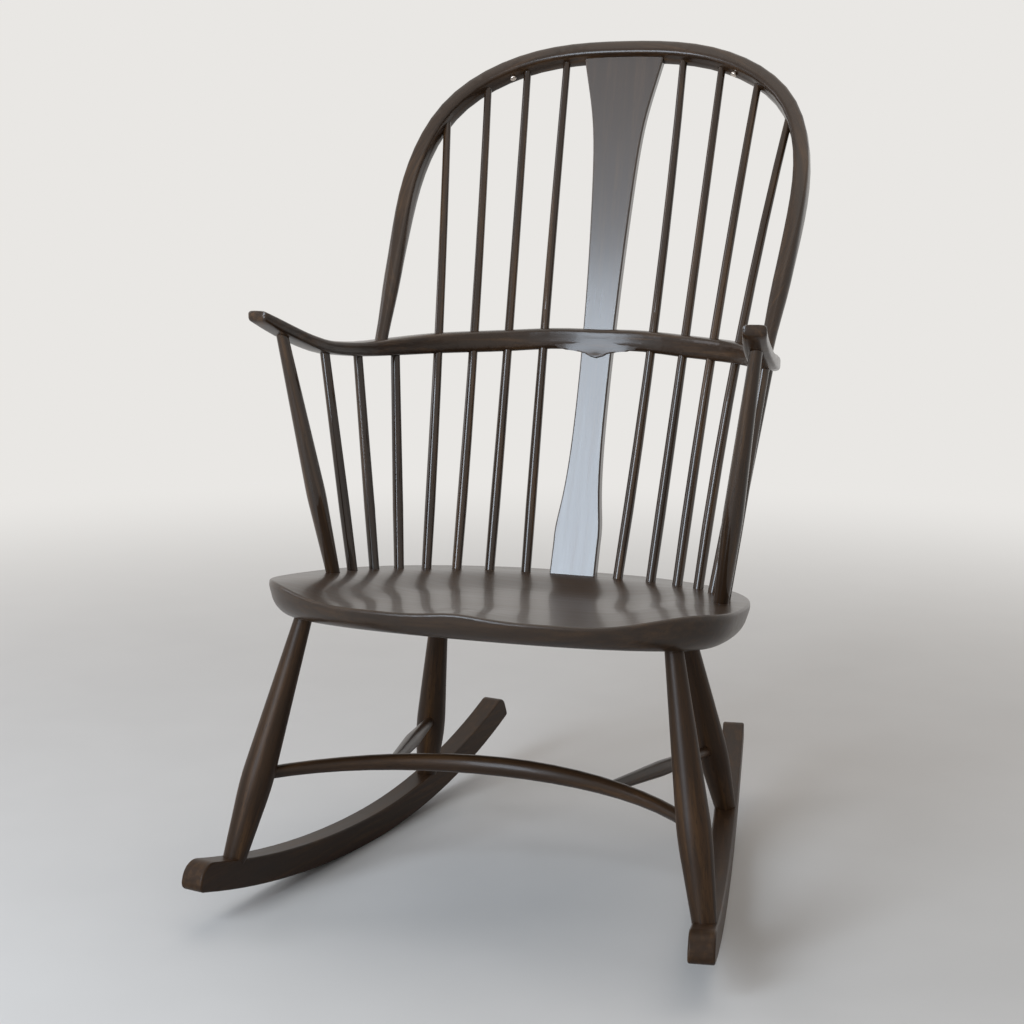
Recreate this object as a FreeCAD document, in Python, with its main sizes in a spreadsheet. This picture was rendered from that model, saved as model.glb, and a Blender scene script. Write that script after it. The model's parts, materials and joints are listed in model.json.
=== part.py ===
"""A hoop back rocking chair in millimetres.

X runs to the right as seen from the front, Y runs to the back and Z is up.
The chair stands at rest on the lowest point of its rockers, and the frame's origin
is on the floor below the middle of its outer box.
"""
import FreeCAD, Part
import math
import os
import Sketcher
from FreeCAD import Placement, Rotation, Vector

# Driving dimensions, in millimetres and degrees. Names that end in share or shares are plain ratios.
SIZES = {
    # Seat
    "seat_half_width": 285.5,
    "seat_front_reach": 161.0,
    "seat_back_reach": 355.0,
    "seat_widest_setback": 135.0,
    "seat_thickness": 43.0,
    "seat_level": 369.3,
    "seat_tilt": 7.1,
    "seat_undercut": 28.0,
    "seat_arris_round": 3.0,
    "hollow_depth": 14.0,
    "front_dip": 17.0,
    "pommel_rise": 5.0,
    "pommel_half_width": 42.0,
    "rim_side_inset": 35.5,
    "rim_back_inset": 63.0,
    "rim_behind_widest": 45.0,
    "rim_first_angle": 3.8,
    "rim_step_angle": 9.85,
    "seat_socket_depth": 20.0,
    # Fits
    "glue_clearance": 0.12,
    "socket_end_gap": 0.3,
    "overrun": 60.0,
    # Arm bow
    "bow_side_overhang": 14.5,
    "bow_back_overhang": 47.5,
    "bow_tip_setback": 132.0,
    "bow_rise": 266.7,
    "bow_hand_rise": 63.0,
    "bow_height": 29.0,
    "bow_width": 31.5,
    "bow_pendant_drop": 10.0,
    "bow_pendant_half_width": 23.0,
    "bow_tip_round": 3.0,
    "bow_socket_depth": 12.0,
    # Hoop
    "hoop_side_inset": 29.0,
    "hoop_rise": 279.3,
    "hoop_centre_rise": 177.6,
    "hoop_centre_inset": 43.3,
    "hoop_recline": 34.2,
    "hoop_crown_width": 22.5,
    "hoop_limb_width": 21.0,
    "hoop_crown_depth": 29.0,
    "hoop_neck_diameter": 23.0,
    "hoop_foot_diameter": 17.0,
    "hoop_socket_depth": 3.0,
    # Splat
    "splat_thickness": 15.0,
    "splat_edge_round": 2.0,
    "splat_seat_inset": 58.0,
    "splat_half_width": 54.5,
    "splat_mortise_depth": 18.0,
    # Long spindles
    "spindle_foot_diameter": 13.4,
    "spindle_belly_diameter": 14.2,
    "spindle_bow_diameter": 12.4,
    "spindle_head_diameter": 10.2,
    # Short spindles
    "short_foot_diameter": 13.6,
    "short_belly_diameter": 14.4,
    "short_head_diameter": 12.4,
    "short_belly_height": 80.0,
    # Arm posts
    "post_foot_diameter": 17.6,
    "post_belly_diameter": 24.2,
    "post_head_diameter": 14.6,
    "post_belly_height": 106.0,
    # Legs
    "leg_head_diameter": 21.4,
    "leg_belly_diameter": 38.8,
    "leg_foot_diameter": 26.5,
    "leg_tenon_diameter": 17.0,
    "leg_tenon_length": 22.0,
    "leg_socket_depth": 24.0,
    "belly_round": 400.0,
    "front_leg_side_inset": 60.6,
    "front_leg_end_inset": 99.9,
    "front_leg_splay": 67.0,
    "front_leg_rake": 85.7,
    "front_leg_belly_height": 97.2,
    "front_leg_foot_level": 66.0,
    "rear_leg_side_inset": 127.5,
    "rear_leg_end_inset": 133.3,
    "rear_leg_splay": 57.0,
    "rear_leg_rake": 81.3,
    "rear_leg_belly_height": 81.7,
    "rear_leg_foot_level": 50.0,
    "leg_lower_level": 40.0,
    "leg_upper_level": 360.0,
    # Rockers
    "rocker_front_radius": 1253.0,
    "rocker_back_radius": 920.0,
    "rocker_contact_place": 5.0,
    "rocker_height": 35.3,
    "rocker_width": 29.5,
    "rocker_outset": 1.3,
    "rocker_front_sweep": 17.0,
    "rocker_back_sweep": 24.2,
    "rocker_edge_round": 2.5,
    "rocker_nose_round": 22.0,
    "rocker_chin_round": 9.0,
    "rocker_tail_round": 15.0,
    "rocker_heel_round": 5.0,
    # Stretchers
    "bow_stretcher_level": 166.0,
    "bow_stretcher_bow": 128.0,
    "bow_stretcher_middle_diameter": 23.5,
    "bow_stretcher_end_diameter": 15.5,
    "stretcher_socket_depth": 12.0,
    "spur_leg_level": 132.0,
    "spur_reach": 136.0,
    "spur_drop": 3.0,
    "spur_middle_diameter": 20.0,
    "spur_end_diameter": 13.0,
    "spur_socket_depth": 7.0,
    # Cushion studs
    "stud_head_diameter": 8.6,
    "stud_head_height": 3.2,
    "stud_wall_height": 2.0,
    "stud_crown_diameter": 5.8,
    "stud_neck_height": 1.1,
    "stud_shank_diameter": 4.0,
    "stud_shank_length": 7.0,
    "stud_half_span": 163.0,
}

# Plan of the arm bow: shares of its half width and of its depth, from the back to a tip.
BOW_PLAN_SHARES = (
    (0.0, 1.0), (0.257, 0.983), (0.415, 0.9525), (0.557, 0.905), (0.69, 0.834), (0.81, 0.718),
    (0.873, 0.623), (0.91, 0.519), (0.94, 0.357), (0.973, 0.123), (1.0, 0.0))
# Where things meet the arm bow, as shares of the length from its middle to a tip.
BOW_SPINDLE_SHARES = (0.1275, 0.209, 0.288, 0.372)
BOW_SHORT_SPINDLE_SHARES = (0.743, 0.61, 0.488)
BOW_HOOP_SHARE = 0.535
BOW_POST_SHARE = 0.911
# The arm bow's form: share of its length, then shares of its height, of its hand's rise and of its width.
BOW_FORM_SHARES = (
    (0.0, 0.95, 0.095, 0.73), (0.1, 0.97, 0.09, 0.73), (0.209, 1.0, 0.024, 0.735),
    (0.288, 0.99, 0.004, 0.745), (0.372, 0.95, 0.0, 0.77), (0.45, 0.87, 0.0, 0.81),
    (0.524, 0.77, 0.016, 0.86), (0.61, 0.67, 0.056, 0.94), (0.743, 0.6, 0.2, 1.0),
    (0.8, 0.58, 0.325, 1.0), (0.85, 0.57, 0.46, 0.98), (0.911, 0.58, 0.65, 0.93),
    (0.96, 0.55, 0.83, 0.88), (1.0, 0.46, 1.0, 0.86))
BOW_SECTION_SHARES = (
    0.0, 0.008, 0.019, 0.032, 0.048, 0.075, 0.11, 0.16, 0.209, 0.25, 0.288, 0.33, 0.372, 0.41, 0.45, 0.49,
    0.524, 0.565, 0.61, 0.65, 0.7, 0.743, 0.775, 0.8, 0.825, 0.85, 0.88, 0.911, 0.94, 0.96, 0.98)

# The hoop in its own plane: shares of its half width and of its rise, from the crown down one limb.
HOOP_OUTLINE_SHARES = (
    (0.0, 1.0), (0.458, 0.952), (0.856, 0.697), (0.996, 0.259), (0.992, -0.084), (0.973, -0.381))
HOOP_SPINDLE_SHARES = (0.308, 0.514, 0.711, 0.895)
HOOP_SECTION_COUNT = 26
SPINDLE_SECTION_COUNT = 9
STRETCHER_SECTION_COUNT = 18
HOOP_NECK_SHARE = 0.84
HOOP_ROUNDING_SHARES = (0.62, 0.84)
HOOP_POWER_SHARE = 4.6
BOW_POWER_SHARE = 4.2
ROUND_POWER_SHARE = 2.0
SECTION_POINT_COUNT = 24

# Half widths of the splat as shares of the widest, against shares of its height above the seat.
SPLAT_LOWER_SHARES = ((-0.03, 0.58), (0.06, 0.574))
SPLAT_UPPER_SHARES = (
    (0.092, 0.564), (0.13, 0.5), (0.18, 0.437), (0.3, 0.388), (0.47, 0.405), (0.58, 0.444),
    (0.67, 0.492), (0.76, 0.554), (0.87, 0.699), (0.975, 1.0), (1.02, 1.12))

SEAT_FRONT_POWER_SHARE = 2.4
SEAT_BACK_POWER_SHARE = 2.3
RIM_POWER_SHARE = 2.4
RIM_SPREAD_SHARE = 1.043
# The seat's edge from its top plane down: shares of the thickness, and of the undercut.
SEAT_EDGE_SHARES = (
    (0.0, 0.02), (0.12, 0.0), (0.28, 0.045), (0.49, 0.14), (0.7, 0.3), (0.87, 0.55), (0.965, 0.8), (1.0, 1.0))
HOLLOW_INNER_SHARES = (0.42, 0.53)
HOLLOW_OUTER_SHARES = (0.79, 1.03)
POMMEL_SHARES = (0.25, 0.85)
SEAT_GRID_COUNTS = (19, 17)
OUTLINE_COUNT = 48
SPINDLE_BELLY_SHARE = 0.12
TENON_SHOULDER_SHARE = 0.5

document = FreeCAD.newDocument("hoop_back_rocking_chair")
sheet = document.addObject("Spreadsheet::Sheet", "Sizes")
for row, (alias, value) in enumerate(SIZES.items(), start=1):
    sheet.set("A%d" % row, alias)
    sheet.set("B%d" % row, str(value))
    sheet.setAlias("B%d" % row, alias)
document.recompute()

pieces = []


def size(alias):
    """A driving dimension, read from the sheet."""
    return float(sheet.get(alias))


def along(stations, column, share):
    """A smooth value at a share of a length, from stations that lead with their own shares."""
    index = 0
    while index < len(stations) - 2 and stations[index + 1][0] < share:
        index += 1
    near = stations[max(index - 1, 0):index + 3]
    start, end = stations[index], stations[index + 1]
    span = end[0] - start[0]
    first = start if index == 0 else near[0]
    last = near[-1]
    leaving = (end[column] - first[column]) / (end[0] - first[0]) * span
    arriving = (last[column] - start[column]) / (last[0] - start[0]) * span
    part = (share - start[0]) / span
    left = 1 - part
    value = start[column] * left * left * (1 + 2 * part) + end[column] * part * part * (1 + 2 * left)
    return value + leaving * part * left * left - arriving * left * part * part


def ease(start, end, value):
    """Runs smoothly from 0 at start to 1 at end."""
    share = min(max((value - start) / (end - start), 0.0), 1.0)
    return share * share * (3.0 - 2.0 * share)


def blend(low, high, share):
    return low + (high - low) * share


def towards(direction):
    """The turn that lays the Z axis along a direction."""
    return Rotation(Vector(0, 0, 1), direction)


def other_side(point):
    return Vector(-point.x, point.y, point.z)


def smooth_curve(points):
    curve = Part.BSplineCurve()
    curve.interpolate(points)
    return curve


def loft(wires, straight=True):
    return Part.makeLoft(wires, True, straight)


def both_ways(shares):
    """Shares of half a length, laid out from one end of a symmetric piece to the other."""
    return [-share for share in reversed(shares[1:])] + list(shares)


def rounded_section(centre, across, up, width, height, power):
    """A closed outline square to a path: round at a power of 2, and squarer above it."""
    points = []
    for index in range(SECTION_POINT_COUNT):
        angle = 360.0 * index / SECTION_POINT_COUNT
        u, v = superellipse(angle, width / 2, height / 2, power)
        points.append(centre + across * u + up * v)
    curve = Part.BSplineCurve()
    curve.interpolate(points, True)
    return Part.Wire(curve.toShape())


def superellipse(angle, half_width, reach, power):
    """A point of a rounded oblong about its own middle; the angle runs from its side."""
    cosine = math.cos(math.radians(angle))
    sine = math.sin(math.radians(angle))
    x = math.copysign(abs(cosine) ** (2 / power), cosine) * half_width
    y = math.copysign(abs(sine) ** (2 / power), sine) * reach
    return x, y


def ring(centre, direction, diameter):
    return Part.Wire(Part.Circle(centre, direction, diameter / 2).toShape())


def feature(label, shape):
    """A sub-part whose form comes from curves and sections."""
    piece = document.addObject("Part::Feature", label)
    piece.Shape = shape
    return piece


def keep(piece, label):
    piece.Label = label
    pieces.append(piece)
    return piece


def rod(start, end, diameter):
    """A straight cylinder used for sockets and tenons."""
    line = end - start
    return Part.makeCylinder(diameter / 2, line.Length, start, line)


# Places on the seat

def seat_front():
    return -size("seat_widest_setback") - size("seat_front_reach")


def seat_back():
    return size("seat_back_reach") - size("seat_widest_setback")


def seat_frame():
    """The seat's own frame: its X and Y lie in the top plane, its Z stands square to it."""
    return Placement(Vector(0, 0, size("seat_level")), Rotation(Vector(1, 0, 0), -size("seat_tilt")))


def rim_place(step):
    """A socket on the seat's rim, counted back from the arm post."""
    angle = size("rim_first_angle") + step ** RIM_SPREAD_SHARE * size("rim_step_angle")
    centre = size("rim_behind_widest") - size("seat_widest_setback")
    half_width = size("seat_half_width") - size("rim_side_inset")
    reach = seat_back() - size("rim_back_inset") - centre
    x, y = superellipse(angle, half_width, reach, RIM_POWER_SHARE)
    return seat_frame().multVec(Vector(x, y + centre, 0))


# Places on the arm bow

def bow_half_width():
    return size("seat_half_width") + size("bow_side_overhang")


def bow_back():
    return seat_back() + size("bow_back_overhang")


def bow_lowest_level():
    return size("seat_level") + size("bow_rise")


def bow_curve():
    """The middle of the arm bow in plan, from its back to the right-hand tip, and its mirror image."""
    tip = seat_front() + size("bow_tip_setback")
    depth = bow_back() - tip
    right = [Vector(x * bow_half_width(), tip + y * depth, 0) for x, y in BOW_PLAN_SHARES]
    left = [other_side(point) for point in reversed(right[1:])]
    return smooth_curve(left + right)


BOW = bow_curve()
BOW_MIDDLE = (BOW.FirstParameter + BOW.LastParameter) / 2
BOW_HALF_LENGTH = BOW.length(BOW_MIDDLE, BOW.LastParameter)


def bow_levels(share):
    """Underside and top of the arm bow at a share of its half length."""
    height = size("bow_height") * along(BOW_FORM_SHARES, 1, abs(share))
    underside = bow_lowest_level() + size("bow_hand_rise") * along(BOW_FORM_SHARES, 2, abs(share))
    return underside, underside + height


def bow_place(share, along_height=0.5):
    """A point on the arm bow's middle line, and the bow's direction there."""
    parameter = BOW.parameterAtDistance(share * BOW_HALF_LENGTH, BOW_MIDDLE)
    point = BOW.value(parameter)
    underside, top = bow_levels(share)
    point.z = blend(underside, top, along_height)
    return point, BOW.tangent(parameter)[0]


# Places on the hoop

def hoop_half_width():
    return bow_half_width() - size("hoop_side_inset")


def hoop_place(u, rise):
    """A point of the hoop's leaning plane: u to the side, rise up the plane."""
    lean = math.radians(size("hoop_recline"))
    y = bow_back() - size("hoop_centre_inset") + rise * math.sin(lean)
    z = bow_lowest_level() + size("hoop_centre_rise") + rise * math.cos(lean)
    return Vector(u, y, z)


def hoop_up():
    return (hoop_place(0, 1) - hoop_place(0, 0)).normalize()


def hoop_normal():
    return Vector(1, 0, 0).cross(hoop_up())


def hoop_foot():
    """Where a limb of the hoop stands on the arm bow."""
    seat_on_bow, _ = bow_place(BOW_HOOP_SHARE, 1.0)
    rise = (seat_on_bow.z - hoop_place(0, 0).z) / hoop_up().z
    return hoop_place(seat_on_bow.x, rise)


def hoop_curve():
    right = [
        hoop_place(u * hoop_half_width(), rise * size("hoop_rise"))
        for u, rise in HOOP_OUTLINE_SHARES]
    right.append(hoop_foot())
    left = [other_side(point) for point in reversed(right[1:])]
    return smooth_curve(left + right)


HOOP = hoop_curve()
HOOP_MIDDLE = (HOOP.FirstParameter + HOOP.LastParameter) / 2
HOOP_HALF_LENGTH = HOOP.length(HOOP_MIDDLE, HOOP.LastParameter)


def hoop_at_width(u):
    """The hoop's middle line at a distance from the plane of symmetry, on its upper arch."""
    low = HOOP_MIDDLE
    high = HOOP.parameterAtDistance(HOOP_HALF_LENGTH / 2, HOOP_MIDDLE)
    while high - low > 1e-6:
        middle = (low + high) / 2
        if HOOP.value(middle).x < u:
            low = middle
        else:
            high = middle
    return HOOP.value(low)


def left_and_right(points):
    """The same points on both sides of the chair, with a name for each side."""
    return (("right", points), ("left", [other_side(point) for point in points]))


# Rocking gear

def leg_line(name, level):
    """A point on a right-hand leg's middle line at a level."""
    half_span = size("seat_half_width") - size(name + "_side_inset")
    if name == "front_leg":
        place = seat_front() + size(name + "_end_inset")
        rake = -size(name + "_rake")
    else:
        place = seat_back() - size(name + "_end_inset")
        rake = size(name + "_rake")
    upper = Vector(half_span, place, size("leg_upper_level"))
    lower = Vector(half_span + size(name + "_splay"), place + rake, size("leg_lower_level"))
    return lower + (upper - lower) * ((level - lower.z) / (upper.z - lower.z))


def rocker_frame(side):
    """A rocker's own frame under its two legs: its X runs back along the rocker, its Y across it."""
    front = leg_line("front_leg", size("front_leg_foot_level"))
    rear = leg_line("rear_leg", size("rear_leg_foot_level"))
    toe = math.atan2(front.x - rear.x, rear.y - front.y)
    half_span = rear.x + rear.y * math.tan(toe) + size("rocker_outset")
    base = Vector(side * half_span, 0, 0)
    return Placement(base, Rotation(Vector(0, 0, 1), 90 + side * math.degrees(toe)))


def tangent_place(point, centre, radius, above):
    """Where a line from a point of a turned profile touches the belly's arc."""
    line = point - centre
    half_angle = math.acos(radius / line.Length)
    heading = math.atan2(line.y, line.x)
    heading += half_angle if above else -half_angle
    return centre + Vector(math.cos(heading), math.sin(heading), 0) * radius


def turned(name, foot, head, stations, belly=None):
    """A body turned about the line from foot to head.

    Each station is a height above the foot and the sheet's name of the diameter there.
    At the station with the belly's number, two cones are eased into each other by an arc.
    """
    body = document.addObject("PartDesign::Body", name + "_turning")
    plane = next(item for item in body.Origin.OriginFeatures if item.Role == "XZ_Plane")
    sketch = body.newObject("Sketcher::SketchObject", name + "_profile")
    sketch.AttachmentSupport = [(plane, "")]
    sketch.MapMode = "FlatFace"
    corners = [Vector(0, 0, 0)]
    corners += [Vector(size(diameter) / 2, height, 0) for height, diameter in stations]
    corners.append(Vector(0, stations[-1][0], 0))
    count = len(corners)
    starts = list(corners)
    ends = [corners[(index + 1) % count] for index in range(count)]
    if belly is not None:
        radius = size("belly_round")
        centre = corners[belly] - Vector(radius, 0, 0)
        ends[belly - 1] = tangent_place(corners[belly - 1], centre, radius, True)
        starts[belly] = tangent_place(corners[belly + 1], centre, radius, False)
    for start, end in zip(starts, ends):
        sketch.addGeometry(Part.LineSegment(start, end), False)
    for index in range(count):
        if belly is None or index != belly - 1:
            following = (index + 1) % count
            sketch.addConstraint(Sketcher.Constraint("Coincident", index, 2, following, 1))
    sketch.addConstraint(Sketcher.Constraint("Coincident", 0, 1, -1, 1))
    sketch.addConstraint(Sketcher.Constraint("Horizontal", 0))
    sketch.addConstraint(Sketcher.Constraint("Vertical", count - 1))
    sketch.addConstraint(Sketcher.Constraint("Horizontal", count - 2))
    for index, (height, diameter) in enumerate(stations, start=1):
        at_belly = index == belly
        geometry, vertex = index, 1
        half = "Sizes.%s / 2" % diameter
        place = corners[index].x
        if at_belly:
            arc = Part.Arc(ends[belly - 1], corners[belly], starts[belly])
            geometry, vertex = sketch.addGeometry(arc, False), 3
            sketch.addConstraint(Sketcher.Constraint("Tangent", belly - 1, 2, geometry, 1))
            sketch.addConstraint(Sketcher.Constraint("Tangent", geometry, 2, belly, 1))
            bend = sketch.addConstraint(Sketcher.Constraint("Radius", geometry, radius))
            sketch.renameConstraint(bend, "belly")
            sketch.setExpression("Constraints.belly", "Sizes.belly_round")
            half += " - Sizes.belly_round"
            place -= radius
        across = sketch.addConstraint(
            Sketcher.Constraint("DistanceX", -1, 1, geometry, vertex, place))
        sketch.renameConstraint(across, "radius_%d" % index)
        sketch.setExpression("Constraints.radius_%d" % index, half)
        if index > 1:
            sketch.addConstraint(
                Sketcher.Constraint("DistanceY", -1, 1, geometry, vertex, height))
    revolution = body.newObject("PartDesign::Revolution", name + "_revolution")
    revolution.Profile = sketch
    revolution.ReferenceAxis = (sketch, ["V_Axis"])
    revolution.Angle = 360
    body.Tip = revolution
    body.Placement = Placement(foot, towards(head - foot))
    return body


def fitted(name, base, tools):
    """A piece less the sockets that its neighbours need."""
    cut = document.addObject("Part::Cut", name + "_fitted")
    cut.Base = base
    cut.Tool = feature(name + "_sockets", Part.makeCompound(tools))
    return keep(cut, name)


sockets = {"seat": [], "arm_bow": [], "hoop": [], "left_rocker": [], "right_rocker": [], "bow_stretcher": []}


def socket(host, start, end, diameter):
    """A round socket for a tenon that ends at the point end."""
    line = (end - start).normalize()
    deep_end = end + line * size("socket_end_gap")
    sockets[host].append(rod(start, deep_end, diameter + 2 * size("glue_clearance")))


# Long spindles

def spindle_path(step, share_on_bow, share_on_hoop):
    """The seat, arm bow and hoop points of a right-hand long spindle."""
    seat_point = rim_place(step)
    bow_point, _ = bow_place(share_on_bow)
    hoop_point = hoop_at_width(share_on_hoop * hoop_half_width())
    return [seat_point, bow_point, hoop_point]


def long_spindle(points, diameter_growth, end_growth):
    """A slender bent rod through its seat, arm bow and hoop points, grown for the sockets."""
    curve = smooth_curve(points)
    start = curve.value(curve.FirstParameter)
    start_line = curve.tangent(curve.FirstParameter)[0]
    end = curve.value(curve.LastParameter)
    end_line = curve.tangent(curve.LastParameter)[0]
    bow_parameter = curve.parameter(points[1])
    bow_share = (bow_parameter - curve.FirstParameter) / (curve.LastParameter - curve.FirstParameter)
    thickness = (
        (0.0, size("spindle_foot_diameter")), (SPINDLE_BELLY_SHARE, size("spindle_belly_diameter")),
        (bow_share, size("spindle_bow_diameter")), (1.0, size("spindle_head_diameter")))
    foot_end = start - start_line * (size("seat_socket_depth") + end_growth)
    head_end = end + end_line * (size("hoop_socket_depth") + end_growth)
    rings = [ring(foot_end, start_line, size("spindle_foot_diameter") + diameter_growth)]
    for index in range(SPINDLE_SECTION_COUNT):
        share = index / (SPINDLE_SECTION_COUNT - 1)
        parameter = blend(curve.FirstParameter, curve.LastParameter, share)
        diameter = along(thickness, 1, share) + diameter_growth
        rings.append(ring(curve.value(parameter), curve.tangent(parameter)[0], diameter))
    rings.append(ring(head_end, end_line, size("spindle_head_diameter") + diameter_growth))
    return loft(rings)


INNER_STEP = 3 + len(BOW_SPINDLE_SHARES)
for number, shares in enumerate(zip(BOW_SPINDLE_SHARES, HOOP_SPINDLE_SHARES), start=1):
    step = INNER_STEP + 1 - number
    right_points = spindle_path(step, shares[0], shares[1])
    for side, points in left_and_right(right_points):
        label = "%s_long_spindle_%d" % (side, number)
        keep(feature(label, long_spindle(points, 0.0, 0.0)), label)
        cutter = long_spindle(points, 2 * size("glue_clearance"), size("socket_end_gap"))
        for host in ("seat", "arm_bow", "hoop"):
            sockets[host].append(cutter)

# Short spindles and arm posts

def stand_under_bow(name, step, share, side):
    """Foot and head points of an upright between the seat's rim and the arm bow."""
    foot_on_seat = rim_place(step)
    under_bow, _ = bow_place(share, 0.0)
    if side == "left":
        foot_on_seat = other_side(foot_on_seat)
        under_bow = other_side(under_bow)
    line = (under_bow - foot_on_seat).normalize()
    foot = foot_on_seat - line * size("seat_socket_depth")
    head = under_bow + line * size("bow_socket_depth")
    return foot, foot_on_seat, under_bow, head


def upright(name, step, share, side, prefix, belly_height):
    foot, on_seat, under_bow, head = stand_under_bow(name, step, share, side)
    depth = size("seat_socket_depth")
    belly = 3
    length = (head - foot).Length
    shoulder = (under_bow - foot).Length
    stations = [
        (0.0, prefix + "_foot_diameter"), (depth, prefix + "_foot_diameter"),
        (depth + belly_height, prefix + "_belly_diameter"),
        (shoulder, prefix + "_head_diameter"), (length, prefix + "_head_diameter")]
    body = turned(name, foot, head, stations, belly)
    keep(body, name)
    socket("seat", on_seat + (on_seat - foot), foot, size(prefix + "_foot_diameter"))
    socket("arm_bow", under_bow - (head - under_bow), head, size(prefix + "_head_diameter"))


for side in ("right", "left"):
    for number, share in enumerate(BOW_SHORT_SPINDLE_SHARES, start=1):
        upright(
            "%s_short_spindle_%d" % (side, number), number, share, side, "short",
            size("short_belly_height"))
    upright("%s_arm_post" % side, 0, BOW_POST_SHARE, side, "post", size("post_belly_height"))

# Splat

def splat_foot():
    """The middle of the splat where it leaves the seat's rim."""
    return seat_frame().multVec(Vector(0, seat_back() - size("splat_seat_inset"), 0))


def splat_levels():
    """Levels of the splat's seat on the seat and of the hoop's middle line at the crown."""
    foot = splat_foot().z
    return foot, HOOP.value(HOOP_MIDDLE).z


def splat_side_curve(offset):
    """The splat seen from the side, bent a little where it passes through the arm bow."""
    foot = splat_foot()
    middle, _ = bow_place(0.0)
    crown = HOOP.value(HOOP_MIDDLE)
    curve = smooth_curve([foot, middle, crown])
    first = curve.tangent(curve.FirstParameter)[0]
    last = curve.tangent(curve.LastParameter)[0]
    below = foot - first * size("overrun")
    above = crown + last * size("overrun")
    points = [below, foot, middle, crown, above]
    lines = [first, first, (crown - foot).normalize(), last, last]
    moved = [
        point + Vector(1, 0, 0).cross(line) * offset for point, line in zip(points, lines)]
    return smooth_curve(moved)


def splat_body(growth, foot_growth):
    """The splat's outline from the front, cut from a board bent as its side view shows."""
    foot_level, crown_level = splat_levels()
    height = crown_level - foot_level
    widest = size("splat_half_width")
    bottom = foot_level - size("splat_mortise_depth") - foot_growth
    lower = [
        Vector(half * widest + growth, 0, foot_level + share * height)
        for share, half in SPLAT_LOWER_SHARES]
    lower[0].z = bottom
    upper = [
        Vector(half * widest + growth, 0, foot_level + share * height)
        for share, half in SPLAT_UPPER_SHARES]
    side = Part.BSplineCurve()
    side.interpolate([lower[-1]] + upper)
    right_edges = [Part.LineSegment(lower[0], lower[1]).toShape(), side.toShape()]
    left_side = Part.BSplineCurve()
    left_side.interpolate([other_side(point) for point in [lower[-1]] + upper])
    left_edges = [
        Part.LineSegment(other_side(lower[0]), other_side(lower[1])).toShape(), left_side.toShape()]
    foot_edge = Part.LineSegment(other_side(lower[0]), lower[0]).toShape()
    head_edge = Part.LineSegment(other_side(upper[-1]), upper[-1]).toShape()
    outline = Part.Wire(Part.__sortEdges__(right_edges + left_edges + [foot_edge, head_edge]))
    reach = size("seat_back_reach") + size("hoop_rise")
    board = Part.Face(outline).extrude(Vector(0, reach, 0))
    front = splat_side_curve(-size("splat_thickness") / 2 - growth)
    back = splat_side_curve(size("splat_thickness") / 2 + growth)
    front_edge = front.toShape()
    back_edge = back.toShape()
    ends = [
        Part.LineSegment(front.value(front.FirstParameter), back.value(back.FirstParameter)).toShape(),
        Part.LineSegment(front.value(front.LastParameter), back.value(back.LastParameter)).toShape()]
    side_view = Part.Face(Part.Wire(Part.__sortEdges__([front_edge, back_edge] + ends)))
    slab = side_view.extrude(Vector(4 * widest, 0, 0))
    slab.translate(Vector(-2 * widest, 0, 0))
    return board.common(slab)


def hoop_tube():
    """The hoop as one solid from foot to foot, with a round tenon at each end."""
    count = HOOP_SECTION_COUNT
    sections = []
    for share in both_ways([index / count for index in range(count + 1)]):
        parameter = HOOP.parameterAtDistance(share * HOOP_HALF_LENGTH, HOOP_MIDDLE)
        sections.append(hoop_section(share, HOOP.value(parameter), HOOP.tangent(parameter)[0]))
    depth = size("bow_socket_depth")
    for place, parameter, sign in ((0, HOOP.FirstParameter, -1), (len(sections) + 1, HOOP.LastParameter, 1)):
        line = HOOP.tangent(parameter)[0]
        sections.insert(place, hoop_section(sign, HOOP.value(parameter) + line * depth * sign, line))
    return loft(sections)


def hoop_section(signed_share, point, line):
    share = abs(signed_share)
    rounding = ease(HOOP_ROUNDING_SHARES[0], HOOP_ROUNDING_SHARES[1], share)
    taper = ease(HOOP_NECK_SHARE, 1.0, share)
    width = blend(hoop_band_width(share), size("hoop_neck_diameter"), rounding)
    depth = blend(size("hoop_crown_depth"), size("hoop_neck_diameter"), rounding)
    width = blend(width, size("hoop_foot_diameter"), taper)
    depth = blend(depth, size("hoop_foot_diameter"), taper)
    power = blend(HOOP_POWER_SHARE, ROUND_POWER_SHARE, rounding)
    across = line.cross(hoop_normal()).normalize()
    return rounded_section(point, across, hoop_normal(), width, depth, power)


def hoop_band_width(share):
    """The hoop's width across its bend, where it still has its flat faces."""
    thinning = ease(0.0, HOOP_ROUNDING_SHARES[0], share)
    return blend(size("hoop_crown_width"), size("hoop_limb_width"), thinning)


def hoop_limb(side):
    """A straight round tenon below a limb of the hoop, grown for its socket."""
    foot = hoop_foot()
    line = HOOP.tangent(HOOP.LastParameter)[0]
    if side == "left":
        foot = other_side(foot)
        line = other_side(line)
    return foot, foot + line * size("bow_socket_depth")


clearance = size("glue_clearance")
foot_level, crown_level = splat_levels()
crown = HOOP.value(HOOP_MIDDLE)
head_room = size("splat_half_width") * 3
above_crown = Part.makeBox(
    head_room, head_room, head_room,
    Vector(-head_room / 2, -head_room / 2, 0))
above_crown.Placement = Placement(
    crown, Rotation(Vector(1, 0, 0), -size("hoop_recline")))
splat_blank = splat_body(0.0, 0.0).cut(above_crown)
splat_sides = [edge for edge in splat_blank.Edges if edge.Length > (crown_level - foot_level) / 2]
splat_blank = splat_blank.makeFillet(size("splat_edge_round"), splat_sides)
splat_cutter = splat_body(clearance, size("socket_end_gap"))
head_gap = above_crown.copy()
head_gap.translate(hoop_up() * size("socket_end_gap"))
splat_cutter = splat_cutter.cut(head_gap)
splat = document.addObject("Part::Feature", "back_splat_board")
splat.Shape = splat_blank
keep(splat, "back_splat")
for host in ("seat", "arm_bow", "hoop"):
    sockets[host].append(splat_cutter)

# Hoop

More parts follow.
